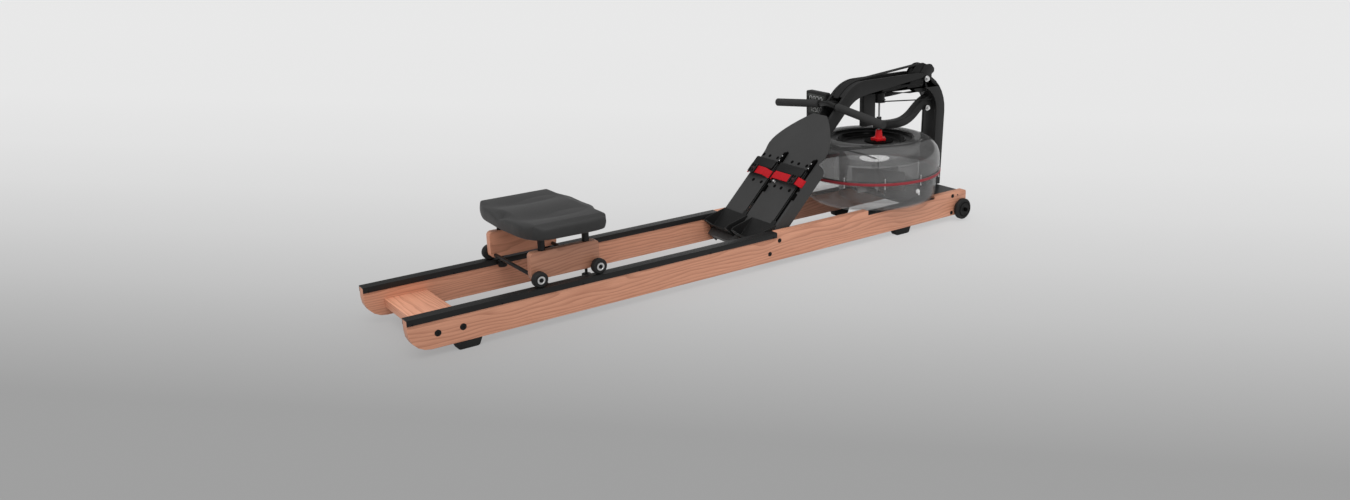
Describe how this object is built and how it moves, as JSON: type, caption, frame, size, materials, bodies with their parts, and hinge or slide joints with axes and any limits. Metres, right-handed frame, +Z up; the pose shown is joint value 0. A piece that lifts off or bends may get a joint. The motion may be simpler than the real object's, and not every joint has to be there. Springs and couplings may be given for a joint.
{
  "type": "water rowing machine",
  "caption": "Water rowing machine: wooden rails with a rolling padded seat, slanted footboard, clear water tank with impeller and an arched black frame holding the pull handle.",
  "frame": {"origin": "centre of the footprint's bounding box, on the floor", "axes": "+X along the rails from the seat's tail end to the tank, +Z up, the display is on the +Y side"},
  "size_m": [2.0704, 0.5452, 0.5535],
  "materials": {
    "ash": "satin oiled ash",
    "black_metal": "satin black powder coat",
    "black_plastic": "fine matte",
    "board_grey": "fine textured dark grey coat",
    "rubber": "matte",
    "foam": "closed-cell foam",
    "leatherette": "moulded soft pad skin",
    "clear": "smoky clear polycarbonate",
    "water": "clear water",
    "gasket": "dull red seal",
    "red": "red plastic",
    "strap_red": "woven webbing",
    "steel": "stainless steel",
    "belt_black": "woven belt",
    "lcd": "display window"
  },
  "bodies": {
    "frame": {"rail_near": "ash", "rail_far": "ash", "rear_crossboard": "ash", "track_near": "black_metal", "track_far": "black_metal", "base_tray": "black_metal", "arch_plate_near": "black_metal", "arch_plate_far": "black_metal", "arch_core": "black_metal", "pulley_bracket": "black_metal", "bearing_arm": "black_metal", "drive_post": "black_metal", "footboard": "board_grey", "foot_rear_near": "rubber", "foot_rear_far": "rubber", "foot_front_near": "rubber", "foot_front_far": "rubber", "bungee": "rubber", "toe_plate_near": "black_plastic", "toe_plate_far": "black_plastic", "buckle_near": "black_plastic", "buckle_far": "black_plastic", "tank_lid": "black_plastic", "tank_lower_shell": "clear", "tank_upper_shell": "clear", "inner_tank": "clear", "water": "water", "tank_gasket": "gasket", "strap_near": "strap_red", "strap_far": "strap_red", "belt": "belt_black"},
    "seat": {"seat_axle_rear": "black_metal", "seat_axle_front": "black_metal", "seat_panel_near": "ash", "seat_panel_far": "ash", "seat_base": "black_metal", "seat_pad": "leatherette"},
    "seat_wheel_rn": {"seat_wheel_rear_near": "rubber"},
    "seat_wheel_rf": {"seat_wheel_rear_far": "rubber"},
    "seat_wheel_fn": {"seat_wheel_front_near": "rubber"},
    "seat_wheel_ff": {"seat_wheel_front_far": "rubber"},
    "roller_rn": {"guide_roller_rear_near": "black_plastic"},
    "roller_rf": {"guide_roller_rear_far": "black_plastic"},
    "roller_fn": {"guide_roller_front_near": "black_plastic"},
    "roller_ff": {"guide_roller_front_far": "black_plastic"},
    "handle": {"handle_bar": "black_plastic", "grip_near": "foam", "grip_far": "foam"},
    "pulley": {"top_pulley": "black_plastic"},
    "spool": {"drive_spool": "black_plastic"},
    "impeller_body": {"impeller": "steel"},
    "knob": {"level_knob": "red"},
    "heel_near": {"heel_rest_near": "black_plastic"},
    "heel_far": {"heel_rest_far": "black_plastic"},
    "transport_near": {"transport_wheel_near": "rubber"},
    "transport_far": {"transport_wheel_far": "rubber"},
    "monitor": {"monitor_case": "black_plastic", "monitor_screen": "lcd"},
    "button_1": {"monitor_button_1": "rubber"},
    "button_2": {"monitor_button_2": "rubber"}
  },
  "joints": [
    {"name": "seat_slide", "type": "slide", "parent": "frame", "child": "seat", "axis": [1, 0, 0], "range_m": [-0.31, 0.52]},
    {"name": "wheel_spin_rear_near", "type": "hinge", "parent": "seat", "child": "seat_wheel_rn", "pos_m": [-0.66042, -0.15875, 0.136], "axis": [0, 1, 0], "range_deg": [-813.1, 1360]},
    {"name": "wheel_spin_rear_far", "type": "hinge", "parent": "seat", "child": "seat_wheel_rf", "pos_m": [-0.66042, 0.15875, 0.136], "axis": [0, 1, 0], "range_deg": [-813.1, 1360]},
    {"name": "wheel_spin_front_near", "type": "hinge", "parent": "seat", "child": "seat_wheel_fn", "pos_m": [-0.47862, -0.15875, 0.136], "axis": [0, 1, 0], "range_deg": [-813.1, 1360]},
    {"name": "wheel_spin_front_far", "type": "hinge", "parent": "seat", "child": "seat_wheel_ff", "pos_m": [-0.47862, 0.15875, 0.136], "axis": [0, 1, 0], "range_deg": [-813.1, 1360]},
    {"name": "roller_spin_rear_near", "type": "hinge", "parent": "seat", "child": "roller_rn", "pos_m": [-0.63542, -0.1299, 0.12], "axis": [0, 0, 1], "range_deg": [-2297.6, 1372]},
    {"name": "roller_spin_rear_far", "type": "hinge", "parent": "seat", "child": "roller_rf", "pos_m": [-0.63542, 0.1299, 0.12], "axis": [0, 0, 1], "range_deg": [-1372, 2297.6]},
    {"name": "roller_spin_front_near", "type": "hinge", "parent": "seat", "child": "roller_fn", "pos_m": [-0.50362, -0.1299, 0.12], "axis": [0, 0, 1], "range_deg": [-2297.6, 1372]},
    {"name": "roller_spin_front_far", "type": "hinge", "parent": "seat", "child": "roller_ff", "pos_m": [-0.50362, 0.1299, 0.12], "axis": [0, 0, 1], "range_deg": [-1372, 2297.6]},
    {"name": "handle_pull", "type": "slide", "parent": "frame", "child": "handle", "axis": [-1, 0, 0], "range_m": [0, 1.15]},
    {"name": "pulley_spin", "type": "hinge", "parent": "frame", "child": "pulley", "pos_m": [0.93278, 0, 0.501], "axis": [0, 1, 0], "range_deg": [-1355.9, 5.7]},
    {"name": "spool_spin", "type": "hinge", "parent": "frame", "child": "spool", "pos_m": [0.74178, 0, 0.451], "axis": [0, 0, 1], "range_deg": [-3219.9, 5.7]},
    {"name": "impeller_spin", "type": "hinge", "parent": "frame", "child": "impeller_body", "pos_m": [0.74178, 0, 0.15], "axis": [0, 0, 1], "continuous": true},
    {"name": "knob_turn", "type": "hinge", "parent": "frame", "child": "knob", "pos_m": [0.74178, 0, 0.32], "axis": [0, 0, 1], "range_deg": [-135, 135]},
    {"name": "heel_slide_near", "type": "slide", "parent": "frame", "child": "heel_near", "axis": [0.7049, 0, 0.7093], "range_m": [0, 0.09]},
    {"name": "heel_slide_far", "type": "slide", "parent": "frame", "child": "heel_far", "axis": [0.7049, 0, 0.7093], "range_m": [0, 0.09]},
    {"name": "transport_spin_near", "type": "hinge", "parent": "frame", "child": "transport_near", "pos_m": [0.98658, -0.1835, 0.0428], "axis": [0, 1, 0], "continuous": true},
    {"name": "transport_spin_far", "type": "hinge", "parent": "frame", "child": "transport_far", "pos_m": [0.98658, 0.1835, 0.0428], "axis": [0, 1, 0], "continuous": true},
    {"name": "monitor_tilt", "type": "hinge", "parent": "frame", "child": "monitor", "pos_m": [0.54613, 0.092, 0.447], "axis": [0, 1, 0], "range_deg": [-15, 15]},
    {"name": "button_press_1", "type": "slide", "parent": "monitor", "child": "button_1", "axis": [1, 0, 0], "range_m": [0, 0.0013], "stiffness_N_per_m": 150},
    {"name": "button_press_2", "type": "slide", "parent": "monitor", "child": "button_2", "axis": [1, 0, 0], "range_m": [0, 0.0013], "stiffness_N_per_m": 150}
  ],
  "couplings": [
    {"joint": "wheel_spin_rear_near", "follows": "seat_slide", "rad_per_m": 45.455},
    {"joint": "wheel_spin_rear_far", "follows": "seat_slide", "rad_per_m": 45.455},
    {"joint": "wheel_spin_front_near", "follows": "seat_slide", "rad_per_m": 45.455},
    {"joint": "wheel_spin_front_far", "follows": "seat_slide", "rad_per_m": 45.455},
    {"joint": "roller_spin_rear_near", "follows": "seat_slide", "rad_per_m": -76.923},
    {"joint": "roller_spin_rear_far", "follows": "seat_slide", "rad_per_m": 76.923},
    {"joint": "roller_spin_front_near", "follows": "seat_slide", "rad_per_m": -76.923},
    {"joint": "roller_spin_front_far", "follows": "seat_slide", "rad_per_m": 76.923},
    {"joint": "pulley_spin", "follows": "handle_pull", "rad_per_m": -20.492},
    {"joint": "spool_spin", "follows": "handle_pull", "rad_per_m": -48.781}
  ]
}
